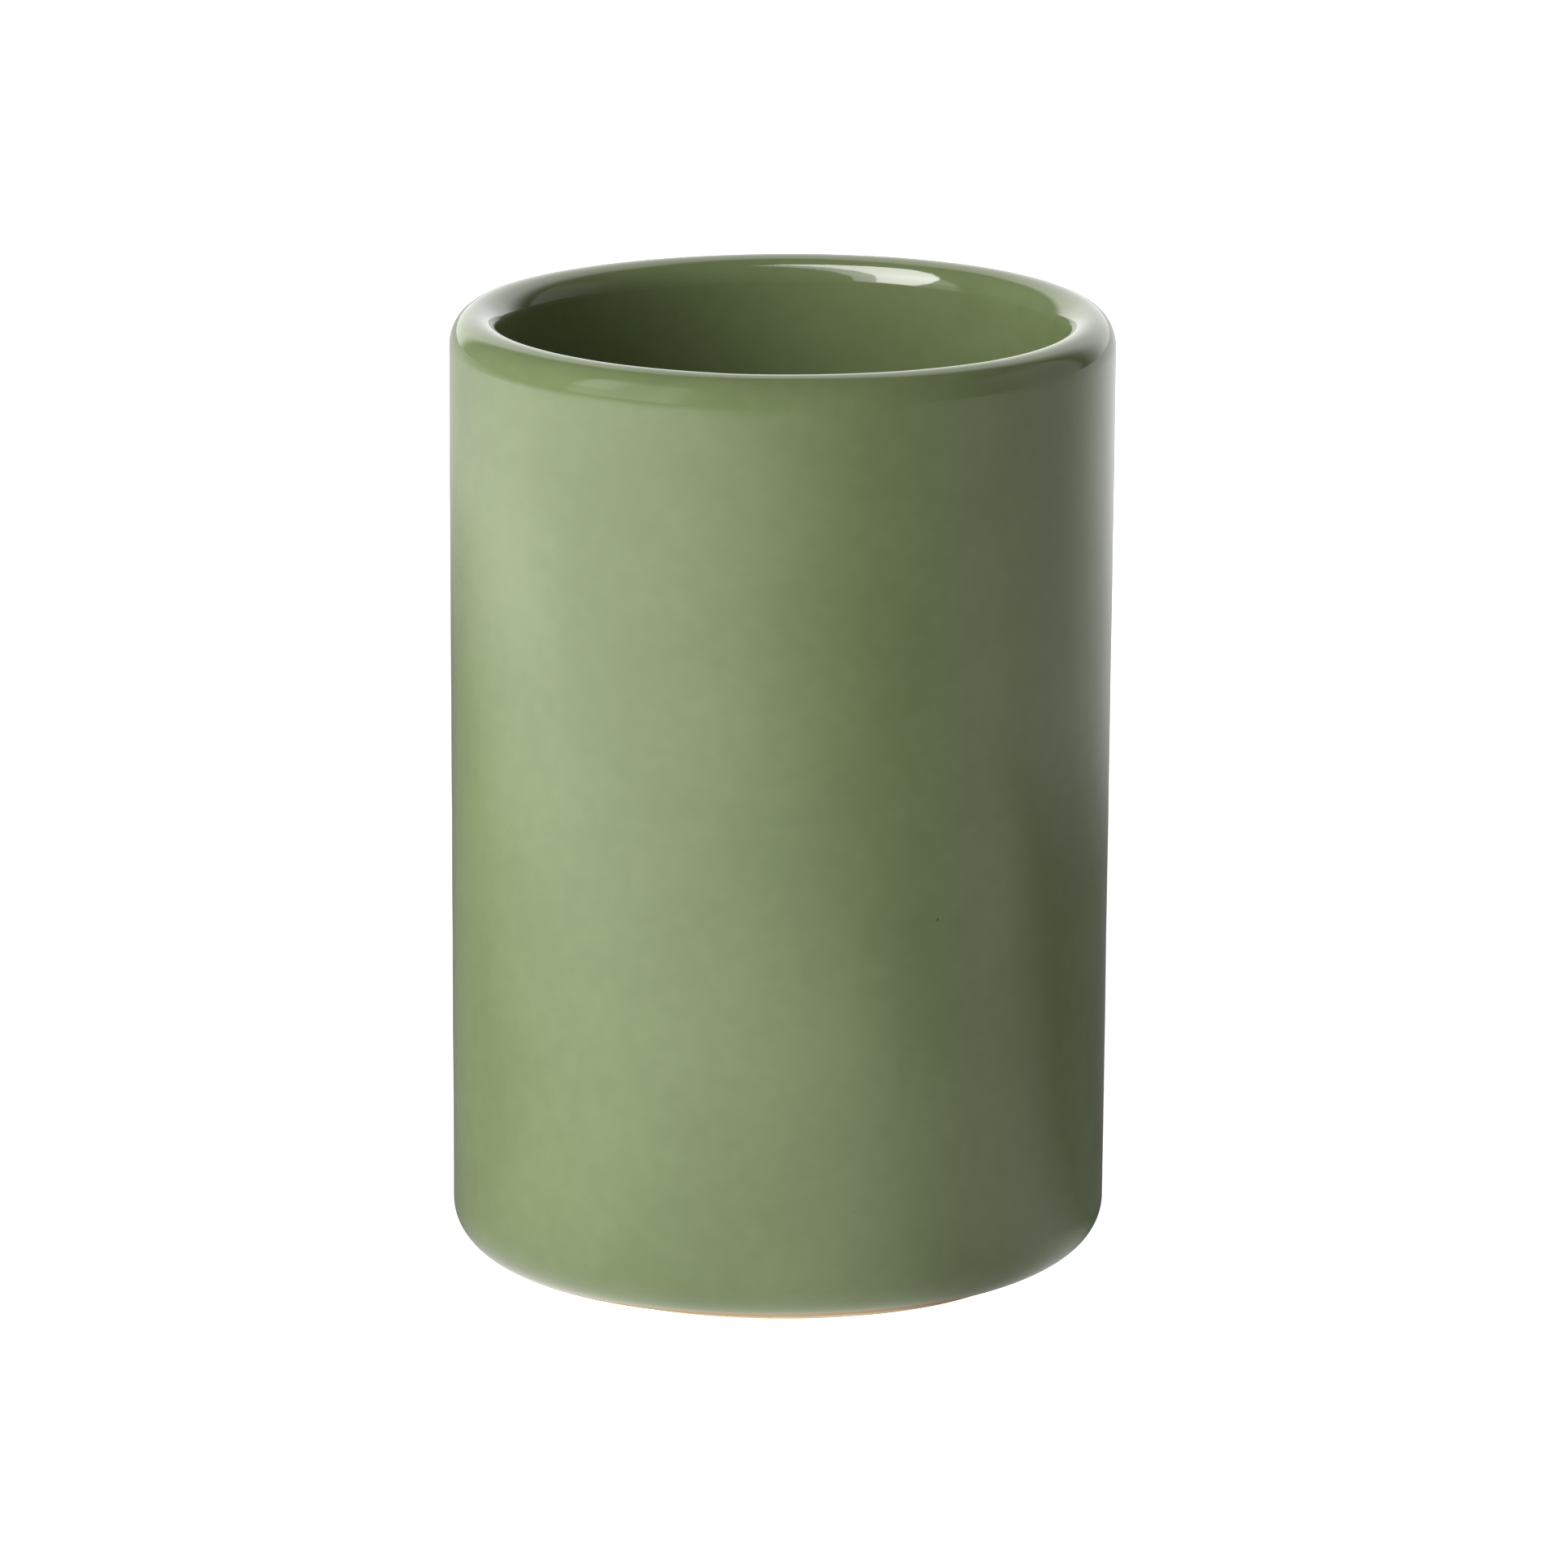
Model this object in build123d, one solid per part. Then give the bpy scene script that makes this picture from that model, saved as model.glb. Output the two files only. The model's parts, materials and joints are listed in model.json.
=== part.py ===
"""Round, straight-sided stoneware brush pot: a fired clay body under a glaze coat, with a bare foot ring.

Millimetres, +Z up. The origin is the centre of the circle that the foot ring stands on.
The pot is turned about Z, so each piece is one closed outline in (radius, height) turned a full circle.
"""

import os
from math import cos, radians, sin

from build123d import *

# Driving dimensions, over the glaze
HEIGHT = 111.0
LIP_DIAMETER = 76.0          # outside, just under the lip
BASE_DIAMETER = 74.6         # outside, where the wall meets the base rounding
WELL_DIAMETER = 64.4         # inside, a true cylinder
FLOOR_HEIGHT = 6.5           # top of the inside floor above the table
GLAZE = 0.4                  # thickness of the glaze

# Lip: two quarter ellipses that meet at the crest
LIP_OUTER_WIDTH = 2.8
LIP_OUTER_DROP = 3.8
LIP_INNER_DROP = 3.0

# Base: the rounding under the wall, and the curve where the inside wall meets the floor
BASE_ROUNDING_WIDTH = 8.7
BASE_ROUNDING_RISE = 6.9
BASE_UNDERSIDE = 0.7         # lowest point of that rounding above the table
GLAZE_EDGE_ANGLE = -69.0     # where the glaze stops on the base rounding, below the horizontal
FLOOR_CURVE = 6.0

# Foot ring of bare clay, and the shallow recess that it encloses
FOOT_WIDTH = 3.8
FOOT_CHAMFER = 0.3
RECESS_CEILING = 1.2         # glazed face of the recess above the table
RECESS_CURVE = 0.8           # between the foot ring and the recess ceiling
RECESS_GLAZE_MARGIN = 1.2    # bare clay left between the foot ring and the glaze in the recess

# Worked out from those
lip_radius = LIP_DIAMETER / 2
base_radius = BASE_DIAMETER / 2
well_radius = WELL_DIAMETER / 2
crest_radius = lip_radius - LIP_OUTER_WIDTH
lip_inner_width = crest_radius - well_radius
rounding_centre = (base_radius - BASE_ROUNDING_WIDTH, BASE_UNDERSIDE + BASE_ROUNDING_RISE)
floor_curve_centre = (well_radius - FLOOR_CURVE, FLOOR_HEIGHT + FLOOR_CURVE)
foot_outer = rounding_centre[0]
foot_inner = foot_outer - FOOT_WIDTH
clay_recess = RECESS_CEILING + GLAZE
recess_glaze_radius = foot_inner - RECESS_GLAZE_MARGIN


def base_rounding(inset, start_angle):
    """The curve under the wall, from start_angle up to the wall, inset from the glaze's face."""
    return EllipticalCenterArc(
        rounding_centre,
        BASE_ROUNDING_WIDTH - inset,
        BASE_ROUNDING_RISE - inset,
        start_angle,
        arc_size=-start_angle,
    )


def skin(inset, start_angle):
    """The pot's face from the base rounding over the lip to the middle of the inside floor."""
    rounding = base_rounding(inset, start_angle)
    lip_outer = EllipticalCenterArc(
        (crest_radius, HEIGHT - LIP_OUTER_DROP),
        LIP_OUTER_WIDTH - inset,
        LIP_OUTER_DROP - inset,
        0,
        arc_size=90,
    )
    lip_inner = EllipticalCenterArc(
        (crest_radius, HEIGHT - LIP_INNER_DROP),
        lip_inner_width - inset,
        LIP_INNER_DROP - inset,
        90,
        arc_size=90,
    )
    floor_curve = CenterArc(floor_curve_centre, FLOOR_CURVE + inset, 0, -90)
    outer_wall = Line(rounding @ 1, lip_outer @ 0)
    inner_wall = Line(lip_inner @ 1, floor_curve @ 0)
    floor = Line(floor_curve @ 1, (0, FLOOR_HEIGHT - inset))
    return [rounding, outer_wall, lip_outer, lip_inner, inner_wall, floor_curve, floor]


def turned(edges, label):
    """One solid of revolution from a closed chain of edges in (radius, height)."""
    outline = Plane.XZ * make_face(Wire(edges))
    solid = revolve(outline, axis=Axis.Z)
    solid.label = label
    return solid


def clay_body():
    """Wall, lip, floor and foot ring, fired as one piece."""
    face = skin(GLAZE, -90)
    recess_curve = CenterArc(
        (foot_inner - RECESS_CURVE, clay_recess - RECESS_CURVE), RECESS_CURVE, 90, -90
    )
    foot = Polyline(
        recess_curve @ 1,
        (foot_inner, FOOT_CHAMFER),
        (foot_inner + FOOT_CHAMFER, 0),
        (foot_outer - FOOT_CHAMFER, 0),
        (foot_outer, FOOT_CHAMFER),
        face[0] @ 0,
    )
    middle = (0, clay_recess)
    ceiling = Line(middle, recess_curve @ 0)
    axis = Line(face[-1] @ 1, middle)
    return turned([ceiling, recess_curve, *foot.edges(), *face, axis], "clay_body")


def glaze_coat():
    """One continuous skin of glaze: outside, lip, inside wall and floor. It ends in a rounded toe above the foot."""
    face = skin(0, GLAZE_EDGE_ANGLE)
    clay_side = skin(GLAZE, GLAZE_EDGE_ANGLE)
    toe_start = clay_side[0] @ 0
    toe_end = face[0] @ 0
    # the toe bulges along the rounding by half the glaze's thickness
    along = radians(GLAZE_EDGE_ANGLE - 90)
    toe_middle = (toe_start + toe_end) / 2 + Vector(cos(along), sin(along)) * (GLAZE / 2)
    toe = ThreePointArc(toe_start, toe_middle, toe_end)
    axis = Line(face[-1] @ 1, clay_side[-1] @ 1)
    return turned([toe, *face, axis, *clay_side], "glaze_coat")


def recess_glaze():
    """The separate disc of glaze inside the foot ring, cut off from the coat when the foot was wiped clean."""
    edge = GLAZE / 2
    rim = CenterArc((recess_glaze_radius - edge, clay_recess - edge), edge, 90, -180)
    below = Line(rim @ 1, (0, RECESS_CEILING))
    axis = Line(below @ 1, (0, clay_recess))
    above = Line(axis @ 1, rim @ 0)
    return turned([rim, below, axis, above], "recess_glaze")


os.makedirs("parts", exist_ok=True)
for piece in (clay_body(), glaze_coat(), recess_glaze()):
    export_step(piece, f"parts/{piece.label}.step")
    print(f"{piece.label}: {piece.volume / 1000:.2f} cm3")
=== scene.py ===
"""Round stoneware brush pot: green glaze over a cream clay body with a bare foot, on a pale floor.

Shapes are worked out in millimetres and written to Blender in metres. Each visible piece is one outline in
(radius, height) swept round Z, and all pieces then share the same small faults.
Turns and azimuths go round Z from the camera's side, where they are 0, towards +X, unless a comment says otherwise.
"""

import json
from math import cos, pi, radians, sin

import bpy
import numpy as np
from mathutils import Euler, Matrix, Quaternion, Vector, noise


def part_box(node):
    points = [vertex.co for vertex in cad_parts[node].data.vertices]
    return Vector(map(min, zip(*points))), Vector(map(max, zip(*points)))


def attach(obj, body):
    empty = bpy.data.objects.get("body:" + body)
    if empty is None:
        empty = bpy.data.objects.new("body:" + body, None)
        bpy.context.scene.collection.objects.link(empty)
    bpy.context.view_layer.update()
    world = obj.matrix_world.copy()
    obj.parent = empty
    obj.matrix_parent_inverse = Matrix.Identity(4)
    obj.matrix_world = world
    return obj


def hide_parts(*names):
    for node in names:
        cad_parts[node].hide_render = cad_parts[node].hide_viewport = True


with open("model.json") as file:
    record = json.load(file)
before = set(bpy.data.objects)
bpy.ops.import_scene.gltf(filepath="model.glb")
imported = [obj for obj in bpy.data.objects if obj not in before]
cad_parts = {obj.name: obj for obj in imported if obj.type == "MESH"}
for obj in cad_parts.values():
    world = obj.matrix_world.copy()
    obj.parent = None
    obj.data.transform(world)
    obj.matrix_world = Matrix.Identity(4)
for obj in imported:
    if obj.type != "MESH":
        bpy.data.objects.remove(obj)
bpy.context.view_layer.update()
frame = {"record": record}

MM = 0.001

# ---- Sizes, in millimetres. The first group is read from the frame. ----
glaze_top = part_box("glaze_coat")[1] / MM
clay_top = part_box("clay_body")[1] / MM
recess_low, recess_high = (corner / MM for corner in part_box("recess_glaze"))
mounts = {mount["name"]: mount for mount in frame["record"]["mounts"]}

HEIGHT = glaze_top.z
LIP_RADIUS = glaze_top.x
WELL_RADIUS = mounts["well"]["dims"]["r_mm"]
GLAZE = glaze_top.z - clay_top.z

BASE_RADIUS = 37.3
LIP_OUTER_WIDTH = 2.8
LIP_OUTER_DROP = 3.8
LIP_INNER_DROP = 3.0
BASE_ROUNDING_WIDTH = 8.7
BASE_ROUNDING_RISE = 6.9
BASE_UNDERSIDE = 0.7
GLAZE_EDGE_ANGLE = -69.0
FLOOR_HEIGHT = 6.5
FLOOR_CURVE = 6.0
FOOT_WIDTH = 3.8
FOOT_CHAMFER = 0.3
RECESS_CURVE = 0.8

crest_radius = LIP_RADIUS - LIP_OUTER_WIDTH
lip_inner_width = crest_radius - WELL_RADIUS
rounding_centre = (BASE_RADIUS - BASE_ROUNDING_WIDTH, BASE_UNDERSIDE + BASE_ROUNDING_RISE)
floor_curve_centre = (WELL_RADIUS - FLOOR_CURVE, FLOOR_HEIGHT + FLOOR_CURVE)
foot_outer = rounding_centre[0]
foot_inner = foot_outer - FOOT_WIDTH
clay_recess = recess_high.z

# The pot's faults. The tilts, the lean and the rim's own follow the photo's outline.
RIM_TILT = 0.0026            # rise of the rim for each millimetre towards +X
BASE_TILT = 0.010            # the same for the base rounding, fading to nothing up the wall
LEAN = -0.0009               # shift of the wall along X for each millimetre of height
OVAL = 0.05                  # how far the wall is from round
RIM_SINK = 0.19              # how far the rim sits below its drawn height
RIM_WAVE = 0.104             # rise and fall of the rim
EDGE_WAVE = 1.6              # degrees by which the glaze's lower edge wanders on the base rounding
RECESS_EDGE_WAVE = 0.006     # share of its radius by which the recess glaze's edge wanders

RIPPLES = [(0.030, 11), (0.012, 4.5)]    # height and length of the waves in the glaze's face
RIPPLE_FADE_RINGS = 24       # rings over which they die out towards the glaze's lower edge

STEPS = 288                  # faces round the pot


# ---- Outlines ----
def arc(centre, width, rise, start, end, count):
    """Points along part of an ellipse, without its last point. Angles are in degrees."""
    turn = np.radians(np.linspace(start, end, count, endpoint=False))
    return np.column_stack([centre[0] + width * np.cos(turn), centre[1] + rise * np.sin(turn)])


def line(start, end, count):
    """Points along a line, without its last point."""
    share = np.linspace(0, 1, count, endpoint=False)[:, None]
    return np.asarray(start) * (1 - share) + np.asarray(end) * share


def skin(inset, start_angle, detail):
    """The pot's face from the base rounding over the lip to the middle of the inside floor."""
    lip_centre = (crest_radius, HEIGHT - LIP_OUTER_DROP)
    inner_centre = (crest_radius, HEIGHT - LIP_INNER_DROP)
    wall_start = (BASE_RADIUS - inset, rounding_centre[1])
    wall_end = (LIP_RADIUS - inset, lip_centre[1])
    well_top = (WELL_RADIUS + inset, inner_centre[1])
    well_end = (WELL_RADIUS + inset, floor_curve_centre[1])
    floor_start = (floor_curve_centre[0], FLOOR_HEIGHT - inset)
    round_base = BASE_ROUNDING_WIDTH - inset, BASE_ROUNDING_RISE - inset
    round_lip = LIP_OUTER_WIDTH - inset, LIP_OUTER_DROP - inset
    round_inner = lip_inner_width - inset, LIP_INNER_DROP - inset
    return np.vstack([
        arc(rounding_centre, *round_base, start_angle, 0, 14 * detail),
        line(wall_start, wall_end, 50 * detail),
        arc(lip_centre, *round_lip, 0, 90, 10 * detail),
        arc(inner_centre, *round_inner, 90, 180, 10 * detail),
        line(well_top, well_end, 24 * detail),
        arc(floor_curve_centre, FLOOR_CURVE + inset, FLOOR_CURVE + inset, 0, -90, 6 * detail),
        line(floor_start, (0, FLOOR_HEIGHT - inset), 12 * detail),
        [(0, FLOOR_HEIGHT - inset)],
    ])


def glaze_outline(turn):
    """The glaze's closed outline at one step round the pot: its face, then back along the clay."""
    wander = 0.6 * sin(3 * turn + 0.4) + 0.3 * sin(7 * turn + 2.1) + 0.2 * sin(16 * turn)
    edge = GLAZE_EDGE_ANGLE + EDGE_WAVE * wander
    face = skin(0, edge, 2)
    clay_side = skin(GLAZE, edge, 1)
    middle, half = (face[0] + clay_side[0]) / 2, (face[0] - clay_side[0]) / 2
    bulge = GLAZE / 2 * np.array([cos(radians(edge - 90)), sin(radians(edge - 90))])
    toe = [middle + half * cos(t) + bulge * sin(t) for t in (pi / 4, pi / 2, 3 * pi / 4)]
    return np.vstack([face[::-1], toe, clay_side])


def clay_outline(turn):
    """The clay's closed outline: the recess, the foot ring, and the face under the glaze."""
    curve_centre = (foot_inner - RECESS_CURVE, clay_recess - RECESS_CURVE)
    curve_end = (foot_inner, curve_centre[1])
    inner_chamfer = (foot_inner, FOOT_CHAMFER)
    foot_start = (foot_inner + FOOT_CHAMFER, 0)
    foot_end = (foot_outer - FOOT_CHAMFER, 0)
    outer_chamfer = (foot_outer, FOOT_CHAMFER)
    face = skin(GLAZE, -90, 1)
    return np.vstack([
        line((0, clay_recess), (curve_centre[0], clay_recess), 10),
        arc(curve_centre, RECESS_CURVE, RECESS_CURVE, 90, 0, 6),
        line(curve_end, inner_chamfer, 2),
        line(inner_chamfer, foot_start, 2),
        line(foot_start, foot_end, 6),
        line(foot_end, outer_chamfer, 2),
        line(outer_chamfer, face[0], 3),
        face,
    ])


def recess_glaze_outline(turn):
    """The disc of glaze inside the foot ring, with a rounded edge that wanders a little."""
    wander = 0.5 * sin(2 * turn + 1) + 0.5 * sin(5 * turn)
    radius = recess_high.x * (1 - RECESS_EDGE_WAVE * (1 + wander))
    half = (recess_high.z - recess_low.z) / 2
    centre = (radius - half, recess_low.z + half)
    return np.vstack([
        line((0, recess_high.z), (centre[0], recess_high.z), 12),
        arc(centre, half, half, 90, -90, 8),
        line((centre[0], recess_low.z), (0, recess_low.z), 12),
        [(0, recess_low.z)],
    ])


# ---- Meshes ----
def handmade(points):
    """Points in millimetres with the pot's faults: tilts, a lean, a low and wavy rim, and a slightly oval wall."""
    x, y, z = points.T
    up = z / HEIGHT
    turn = np.arctan2(x, -y)
    low = (1 - up) ** 3 * np.clip(z, 0, 1)
    tilt = RIM_TILT * up ** 3 * x + BASE_TILT * low * x
    waves = np.sin(2 * turn - 2.88) + 0.54 * np.sin(3 * turn + 1.38) + 0.14 * np.sin(5 * turn)
    rim = up ** 6 * (RIM_WAVE * waves - RIM_SINK)
    oval = 1 + OVAL / LIP_RADIUS * up * np.cos(2 * turn - 1.1)
    return np.column_stack([x * oval + LEAN * z, y * oval, z + tilt + rim])


def swept(name, outline):
    """A closed mesh object: outline(turn) swept round Z. An outline starts and ends on the axis."""
    turns = np.linspace(0, 2 * pi, STEPS, endpoint=False)
    rings = np.array([outline(turn) for turn in turns])
    count = rings.shape[1] - 2
    radius, height = rings[:, 1:-1, 0], rings[:, 1:-1, 1]
    around = turns[:, None]
    grid = np.stack([radius * np.sin(around), -radius * np.cos(around), height], axis=-1).reshape(-1, 3)
    poles = [(0, 0, rings[0, 0, 1]), (0, 0, rings[0, -1, 1])]
    points = handmade(np.vstack([grid, poles])) * MM
    start_pole, end_pole = STEPS * count, STEPS * count + 1
    faces = []
    for step in range(STEPS):
        here, there = step * count, (step + 1) % STEPS * count
        faces.append((start_pole, here, there))
        faces += [(here + i, here + i + 1, there + i + 1, there + i) for i in range(count - 1)]
        faces.append((end_pole, there + count - 1, here + count - 1))
    mesh = bpy.data.meshes.new(name)
    mesh.from_pydata(points.tolist(), [], faces)
    mesh.shade_smooth()
    piece = bpy.data.objects.new(name, mesh)
    bpy.context.scene.collection.objects.link(piece)
    return piece, count


def read(collection, name):
    """One vector attribute of every item in a mesh's collection, as rows."""
    values = np.empty(len(collection) * 3)
    collection.foreach_get(name, values)
    return values.reshape(-1, 3)


def ripple(piece, last_ring, count):
    """Small waves in the glaze's face, as it flowed before it set. Rings past last_ring lie on the clay and stay."""
    vertices = piece.data.vertices
    places, normals = read(vertices, "co"), read(vertices, "normal")
    rings = np.arange(len(vertices)) % count
    fade = np.clip((last_ring - rings) / RIPPLE_FADE_RINGS, 0, 1)
    fade[STEPS * count:] = 0
    swell = np.array([
        sum(height * noise.noise(Vector(place / MM / length)) for height, length in RIPPLES) for place in places
    ])
    vertices.foreach_set("co", (places + normals * (swell * fade * MM)[:, None]).ravel())
    piece.data.update()


# ---- Materials ----
def add(tree, kind, inputs=None, **settings):
    """A new node. An input is a value, or the output of another node."""
    made = tree.nodes.new(kind)
    for name, value in settings.items():
        setattr(made, name, value)
    for name, value in (inputs or {}).items():
        if isinstance(value, bpy.types.NodeSocket):
            tree.links.new(value, made.inputs[name])
        else:
            made.inputs[name].default_value = value
    return made


def calc(tree, operation, *values):
    """The output of a Math node."""
    return add(tree, "ShaderNodeMath", dict(enumerate(values)), operation=operation).outputs[0]


def product(tree, *values):
    """The product of two or more values."""
    result = values[0]
    for value in values[1:]:
        result = calc(tree, "MULTIPLY", result, value)
    return result


def spread(tree, value, low, high, start=0.0, end=1.0, smooth=True):
    """value from low to high, mapped to start to end and held there beyond."""
    kind = "SMOOTHSTEP" if smooth else "LINEAR"
    inputs = {"Value": value, "From Min": low, "From Max": high, "To Min": start, "To Max": end}
    return add(tree, "ShaderNodeMapRange", inputs, interpolation_type=kind).outputs["Result"]


def noisy(tree, place, size, detail=2.0, rough=0.5):
    """Noise from 0 to 1 with features of about size millimetres."""
    inputs = {"Vector": place, "Scale": 1 / (size * MM), "Detail": detail, "Roughness": rough}
    return add(tree, "ShaderNodeTexNoise", inputs).outputs[0]


def mixed(tree, share, a, b):
    """Colour a where share is 0 and b where it is 1."""
    factor, first, second, result = 0, 6, 7, 2      # the Mix node's sockets for colours
    return add(tree, "ShaderNodeMix", {factor: share, first: a, second: b}, data_type="RGBA").outputs[result]


def new_material(name):
    """A material with an empty node tree, its shader and its object coordinates."""
    material = bpy.data.materials.new(name)
    material.use_nodes = True
    tree = material.node_tree
    tree.nodes.clear()
    shader = tree.nodes.new("ShaderNodeBsdfPrincipled")
    output = tree.nodes.new("ShaderNodeOutputMaterial")
    tree.links.new(shader.outputs[0], output.inputs[0])
    place = tree.nodes.new("ShaderNodeTexCoord").outputs["Object"]
    return material, tree, shader, place


def base_level(tree, place):
    """The height above the table, as it was before the base tilted."""
    axes = add(tree, "ShaderNodeSeparateXYZ", {"Vector": place}).outputs
    return calc(tree, "SUBTRACT", axes["Z"], calc(tree, "MULTIPLY", axes["X"], BASE_TILT))


GLAZE_DEEP = (0.147, 0.190, 0.081, 1)
GLAZE_PALE = (0.175, 0.222, 0.099, 1)
GLAZE_TOASTED = (0.42, 0.23, 0.05, 1)
GLAZE_SPECK = (0.07, 0.075, 0.03, 1)
SPECK_SPACING = 9            # millimetres between the places where a speck may be
SPECK_SHARE = 0.13           # share of those places that have one
SPECK_EDGE = (0.012, 0.03)   # a speck's soft edge, as shares of the spacing
TOAST_LOW, TOAST_HIGH = 1.3, 2.5         # the glaze turns from brown to green between these heights
TOAST_WANDER = 0.25          # and the line wanders over this height
GLAZE_ROUGHNESS = (0.03, 0.06)
TOAST_ROUGHNESS = 0.5        # added where the glaze is toasted
GLAZE_IOR = 1.5


def glaze_material():
    """Glossy green glaze: soft clouds of colour, a few specks, and a toasted line where it thins at the foot."""
    material, tree, shader, place = new_material("green_glaze")
    clouds = noisy(tree, place, 22, 3)
    mottle = noisy(tree, place, 2.2, 3)
    blend = calc(tree, "ADD", calc(tree, "MULTIPLY", clouds, 0.7), calc(tree, "MULTIPLY", mottle, 0.3))
    green = mixed(tree, spread(tree, blend, 0.3, 0.7), GLAZE_DEEP, GLAZE_PALE)

    cells = add(tree, "ShaderNodeTexVoronoi", {"Vector": place, "Scale": 1 / (SPECK_SPACING * MM)})
    speck = spread(tree, cells.outputs["Distance"], *SPECK_EDGE, 0.8, 0)
    draw = add(tree, "ShaderNodeSeparateColor", {"Color": cells.outputs["Color"]}).outputs[0]
    chosen = calc(tree, "GREATER_THAN", draw, 1 - SPECK_SHARE)
    green = mixed(tree, calc(tree, "MULTIPLY", speck, chosen), green, GLAZE_SPECK)

    wander = calc(tree, "SUBTRACT", noisy(tree, place, 3, 2), 0.5)
    level = calc(tree, "ADD", base_level(tree, place), calc(tree, "MULTIPLY", wander, TOAST_WANDER * MM))
    toast = spread(tree, level, TOAST_LOW * MM, TOAST_HIGH * MM, 1, 0)
    colour = mixed(tree, toast, green, GLAZE_TOASTED)
    tree.links.new(colour, shader.inputs["Base Color"])

    rough = spread(tree, noisy(tree, place, 6, 2), 0.3, 0.7, *GLAZE_ROUGHNESS)
    rough = calc(tree, "ADD", rough, calc(tree, "MULTIPLY", toast, TOAST_ROUGHNESS))
    tree.links.new(rough, shader.inputs["Roughness"])
    shader.inputs["IOR"].default_value = GLAZE_IOR
    dimples = noisy(tree, place, 1.6, 1)
    peel = add(tree, "ShaderNodeBump", {"Height": dimples, "Distance": 0.004 * MM, "Strength": 1.0})
    tree.links.new(peel.outputs[0], shader.inputs["Normal"])
    return material


CLAY_PALE = (0.80, 0.68, 0.51, 1)
CLAY_WARM = (0.66, 0.50, 0.33, 1)
CLAY_FLASH = (0.62, 0.40, 0.18, 1)
CLAY_SPECK = (0.20, 0.12, 0.07, 1)
FLASH_LOW, FLASH_HIGH = 0.75, 1.15       # the clay turns brown between these heights
CLAY_ROUGHNESS = (0.78, 0.92)


def clay_material():
    """Bare fired clay: cream, grainy and matt, with iron specks, flashed brown where it meets the glaze."""
    material, tree, shader, place = new_material("cream_stoneware")
    body = mixed(tree, spread(tree, noisy(tree, place, 8, 4), 0.3, 0.75), CLAY_PALE, CLAY_WARM)
    specks = spread(tree, noisy(tree, place, 0.45, 1), 0.70, 0.76, 0, 0.8)
    body = mixed(tree, specks, body, CLAY_SPECK)
    flash = spread(tree, base_level(tree, place), FLASH_LOW * MM, FLASH_HIGH * MM, 0, 0.7)
    tree.links.new(mixed(tree, flash, body, CLAY_FLASH), shader.inputs["Base Color"])
    tree.links.new(spread(tree, noisy(tree, place, 1, 3), 0.3, 0.7, *CLAY_ROUGHNESS), shader.inputs["Roughness"])
    grain = noisy(tree, place, 0.35, 4, 0.65)
    bump = add(tree, "ShaderNodeBump", {"Height": grain, "Distance": 0.06 * MM, "Strength": 1.0})
    tree.links.new(bump.outputs[0], shader.inputs["Normal"])
    return material


# ---- Floor, lights and camera, in metres ----
def window(tree, value, opens, closes):
    """1 between two soft edges and 0 beyond them. An edge is where it starts to change and where it has changed."""
    return calc(tree, "MULTIPLY", spread(tree, value, *opens), spread(tree, value, *closes, 1, 0))


# The floor's own light, set so that the glaze mirrors about what it mirrors in the photo. Reach is the distance from
# the pot's axis in metres, and azimuths are in degrees. A pair is where a value starts to change and where it has.
POOL_GLOW = 2.0                          # stands in for the pool of light under the key
POOL_CENTRE = (-0.55, -0.10, 0)
POOL_FADE = (0.2, 0.87)                  # distances from its centre over which it fades
POOL_REACH = (0.1, 0.45)                 # its middle line runs out from the pot, over this reach
POOL_AZIMUTH = (-14, -62)                # and over these azimuths
POOL_ASIDE = (34, 98)                    # degrees to either side of that line over which it fades
SHADE_REACH = (0.036, 0.15)              # the pool is dimmer near the foot, as if shaded,
SHADE_AZIMUTH = (10, 65)                 # down to one share on the left and another on the right
SHADE_LEFT, SHADE_RIGHT = 0.8, 0.25
OUTER_REACH, OUTER_SHARE = (0.5, 0.8), 0.3     # far from the pot the pool drops to this share
CONTACT_GLOW = 0.2                       # a little light under the base rounding, front and left
CONTACT_REACH = (0.033, 0.041)
CONTACT_WINDOW = ((-125, -95), (0, 40))
RIGHT_GLOW = 0.45                        # light on the right, which starts farther out once it is behind the pot
RIGHT_WINDOW = ((35, 75), (150, 190))
RIGHT_REACH, RIGHT_AZIMUTH = (0.20, 0.33), (75, 105)
FAR_GLOW = 0.5                           # light far behind the pot
FAR_REACH, FAR_AZIMUTH = (0.3, 0.5), (105, 150)
CAMERA_LIFT = 1.0                        # added for the camera alone, which sees the floor white

FLOOR_HALF = 40                          # metres from its middle to its edges
FLOOR_DROP = 0.02                        # millimetres below the foot
FLOOR_GREY = (0.25, 0.25, 0.25, 1)


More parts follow.
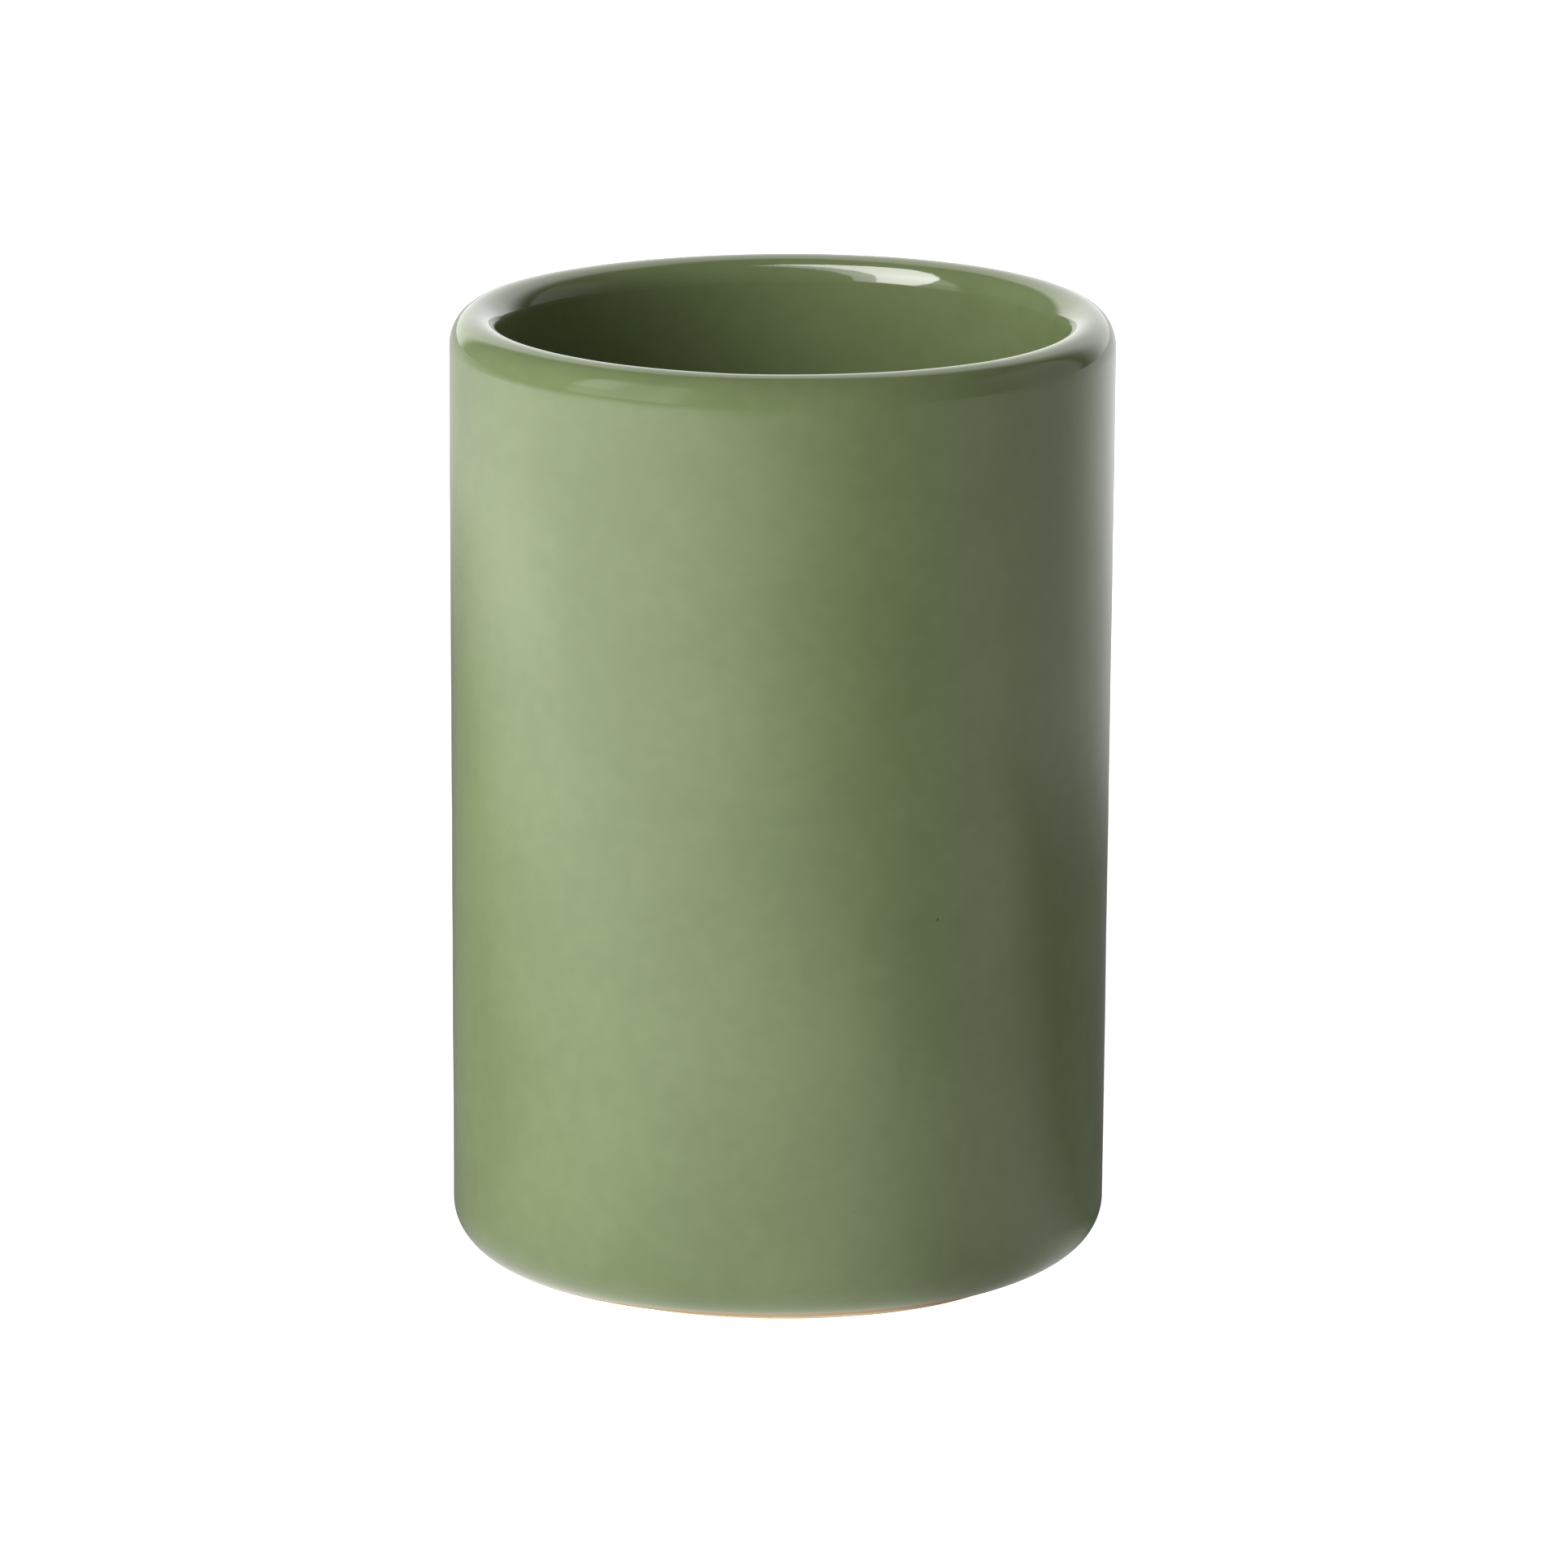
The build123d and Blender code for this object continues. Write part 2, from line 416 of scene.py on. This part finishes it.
def floor_glow(tree, place):
    """The strength of the floor's own light."""
    away = add(tree, "ShaderNodeVectorMath", {0: place, 1: POOL_CENTRE}, operation="DISTANCE").outputs["Value"]
    reach = add(tree, "ShaderNodeVectorMath", {0: place}, operation="LENGTH").outputs["Value"]
    axes = add(tree, "ShaderNodeSeparateXYZ", {"Vector": place}).outputs
    minus_y = calc(tree, "MULTIPLY", axes["Y"], -1)
    azimuth = calc(tree, "MULTIPLY", calc(tree, "ARCTAN2", axes["X"], minus_y), 180 / pi)

    line_azimuth = spread(tree, reach, *POOL_REACH, *POOL_AZIMUTH, smooth=False)
    aside = calc(tree, "ABSOLUTE", calc(tree, "SUBTRACT", azimuth, line_azimuth))
    shade = spread(tree, azimuth, *SHADE_AZIMUTH, SHADE_LEFT, SHADE_RIGHT)
    pool = product(
        tree,
        spread(tree, away, *POOL_FADE, POOL_GLOW, 0),
        spread(tree, aside, *POOL_ASIDE, 1, 0),
        spread(tree, reach, *SHADE_REACH, shade, 1),
        spread(tree, reach, *OUTER_REACH, 1, OUTER_SHARE),
    )
    under = spread(tree, reach, *CONTACT_REACH, CONTACT_GLOW, 0)
    contact = product(tree, under, window(tree, azimuth, *CONTACT_WINDOW))
    beyond = calc(tree, "MAXIMUM", spread(tree, reach, *RIGHT_REACH), spread(tree, azimuth, *RIGHT_AZIMUTH, 1, 0))
    right = product(tree, window(tree, azimuth, *RIGHT_WINDOW), beyond, RIGHT_GLOW)
    behind = spread(tree, calc(tree, "ABSOLUTE", azimuth), *FAR_AZIMUTH, 0, FAR_GLOW)
    far = product(tree, behind, spread(tree, reach, *FAR_REACH))
    seen = add(tree, "ShaderNodeLightPath").outputs["Is Camera Ray"]
    glow = product(tree, seen, CAMERA_LIFT)
    for part in (pool, contact, right, far):
        glow = calc(tree, "ADD", glow, part)
    return glow


def staged_floor():
    """A pale floor that reaches past every horizon, and glows like the lit floor of a studio."""
    half, level = FLOOR_HALF, -FLOOR_DROP * MM
    mesh = bpy.data.meshes.new("floor")
    corners = [(-half, -half, level), (half, -half, level), (half, half, level), (-half, half, level)]
    mesh.from_pydata(corners, [], [(0, 1, 2, 3)])
    floor = bpy.data.objects.new("floor", mesh)
    bpy.context.scene.collection.objects.link(floor)

    material, tree, shader, place = new_material("pale_floor")
    shader.inputs["Base Color"].default_value = FLOOR_GREY
    shader.inputs["Roughness"].default_value = 1
    shader.inputs["Specular IOR Level"].default_value = 0
    shader.inputs["Emission Color"].default_value = (1, 1, 1, 1)
    tree.links.new(floor_glow(tree, place), shader.inputs["Emission Strength"])
    mesh.materials.append(material)


ROOM_RADIANCE = 0.1          # where there is no wall
WHITE_RADIANCE = 1.2         # what the camera itself sees
# Radiance, then the soft left, right, bottom and top edges in degrees. Here turn 0 is straight behind the pot, and
# 90 is +X.
WALLS = [
    (1.5, (-39, -28), (28, 54), (-10, -5), (58, 68)),
    (0.45, (52, 58), (75, 115), (-10, -5), (30, 45)),
    (0.9, (-150, -138), (-106, -98), (-10, -5), (40, 50)),
    (1.1, (-122, -112), (-104, -100), (12, 20), (36, 42)),
]


def studio_world():
    """A dim room round the pot: a bright wall behind it, a grey one on its right, and two screens at the front left.

    The camera itself sees it white all round.
    """
    world = bpy.data.worlds.new("studio")
    bpy.context.scene.world = world
    world.use_nodes = True
    tree = world.node_tree
    tree.nodes.clear()
    direction = add(tree, "ShaderNodeTexCoord").outputs["Generated"]
    axes = add(tree, "ShaderNodeSeparateXYZ", {"Vector": direction}).outputs
    turn = calc(tree, "MULTIPLY", calc(tree, "ARCTAN2", axes["X"], axes["Y"]), 180 / pi)
    height = calc(tree, "MULTIPLY", calc(tree, "ARCSINE", axes["Z"]), 180 / pi)
    light = ROOM_RADIANCE
    for radiance, left, right, bottom, top in WALLS:
        wall = product(tree, window(tree, turn, left, right), window(tree, height, bottom, top), radiance)
        light = calc(tree, "ADD", light, wall)
    seen = add(tree, "ShaderNodeLightPath").outputs["Is Camera Ray"]
    shown = calc(tree, "MAXIMUM", light, product(tree, seen, WHITE_RADIANCE))
    background = add(tree, "ShaderNodeBackground", {"Color": (1, 1, 1, 1), "Strength": shown})
    output = add(tree, "ShaderNodeOutputWorld")
    tree.links.new(background.outputs[0], output.inputs[0])


def area_light(name, radiance, size, place, target, roll=0):
    """A one-sided rectangular light at place that faces target. Its energy gives the radiance asked for."""
    light = bpy.data.lights.new(name, "AREA")
    light.shape = "RECTANGLE"
    light.size, light.size_y = size
    light.energy = radiance * pi * size[0] * size[1]
    lamp = bpy.data.objects.new(name, light)
    bpy.context.scene.collection.objects.link(lamp)
    lamp.location = place
    lamp.rotation_mode = "QUATERNION"
    facing = (Vector(target) - Vector(place)).to_track_quat("-Z", "Y")
    lamp.rotation_quaternion = facing @ Quaternion((0, 0, 1), radians(roll))
    lamp.visible_camera = False
    return lamp


def from_pot(azimuth, elevation, distance):
    """A point that far from the middle of the pot. Azimuth 0 is towards the camera, and 90 is +X."""
    azimuth, elevation = radians(azimuth), radians(elevation)
    flat = distance * cos(elevation)
    return Vector((flat * sin(azimuth), -flat * cos(azimuth), HEIGHT / 2 * MM + distance * sin(elevation)))


# Two large soft lights on the left: radiance, width and height, azimuth and elevation
SOFTBOX_DISTANCE = 1.3
SOFTBOXES = {
    "key_softbox": (4.8, (1.1, 1.0), -48, 22),
    "left_fill": (3.2, (0.5, 0.8), -115, 18),
}

# Two small lights that show as the glint on the far lip: radiance, width, and shift to the side
GLINTS = {
    "lip_glint": (5.5, 0.0090, -0.0020),
    "lip_glint_soft": (2.5, 0.0122, -0.0003),
}
GLINT_LIP = Vector((0.0137, 0.0294, 0.1093))            # where on the lip
GLINT_DIRECTION = Vector((-0.648, -0.458, 0.609))       # from there to the lights
GLINT_DISTANCE, GLINT_LENGTH = 0.036, 0.049
GLINT_ROLL, GLINT_SPREAD = 19, 140


def lights():
    """The soft lights, which don't show in the glaze, and the glints, which show only there."""
    middle = Vector((0, 0, HEIGHT / 2 * MM))
    for name, (radiance, size, azimuth, elevation) in SOFTBOXES.items():
        place = from_pot(azimuth, elevation, SOFTBOX_DISTANCE)
        area_light(name, radiance, size, place, middle).visible_glossy = False
    across = Vector((0, 0, 1)).cross(GLINT_DIRECTION).normalized()
    for name, (radiance, width, shift) in GLINTS.items():
        place = GLINT_LIP + GLINT_DISTANCE * GLINT_DIRECTION + shift * across
        glint = area_light(name, radiance, (width, GLINT_LENGTH), place, GLINT_LIP, GLINT_ROLL)
        glint.data.spread = radians(GLINT_SPREAD)
        glint.visible_diffuse = False


SENSOR_WIDTH, FOCAL_LENGTH = 36, 390.88                 # millimetres
CAMERA_PLACE = Vector((0, -1.8995, 0.4926))
CAMERA_PITCH, CAMERA_YAW, CAMERA_ROLL = 0.226, 0.0002, 0.0066     # radians: down, to the right, and tilted
FARTHEST_SEEN = 200


def photo_camera():
    """The camera at the photograph's viewing angle: a long lens from a little above the rim."""
    data = bpy.data.cameras.new("camera")
    data.sensor_width = SENSOR_WIDTH
    data.lens = FOCAL_LENGTH
    data.clip_end = FARTHEST_SEEN
    camera = bpy.data.objects.new("camera", data)
    bpy.context.scene.collection.objects.link(camera)
    aim = Euler((pi / 2 - CAMERA_PITCH, 0, -CAMERA_YAW)).to_matrix() @ Matrix.Rotation(CAMERA_ROLL, 3, "Z")
    camera.matrix_world = Matrix.LocRotScale(CAMERA_PLACE, aim, None)
    bpy.context.scene.camera = camera


# ---- The pot ----
glaze = glaze_material()
pot_glaze, glaze_count = swept("pot_glaze", glaze_outline)
face_rings = len(skin(0, GLAZE_EDGE_ANGLE, 2)) - 2
ripple(pot_glaze, face_rings, glaze_count)
pot_clay, _ = swept("pot_clay", clay_outline)
pot_recess_glaze, _ = swept("pot_recess_glaze", recess_glaze_outline)

for piece, material, node, slot in (
    (pot_glaze, glaze, "glaze_coat", "glaze"),
    (pot_clay, clay_material(), "clay_body", "bare_clay"),
    (pot_recess_glaze, glaze, "recess_glaze", "glaze"),
):
    piece.data.materials.append(material)
    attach(piece, "root")
    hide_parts(node)

staged_floor()
studio_world()
lights()
photo_camera()
bpy.context.scene.view_settings.view_transform = "Standard"
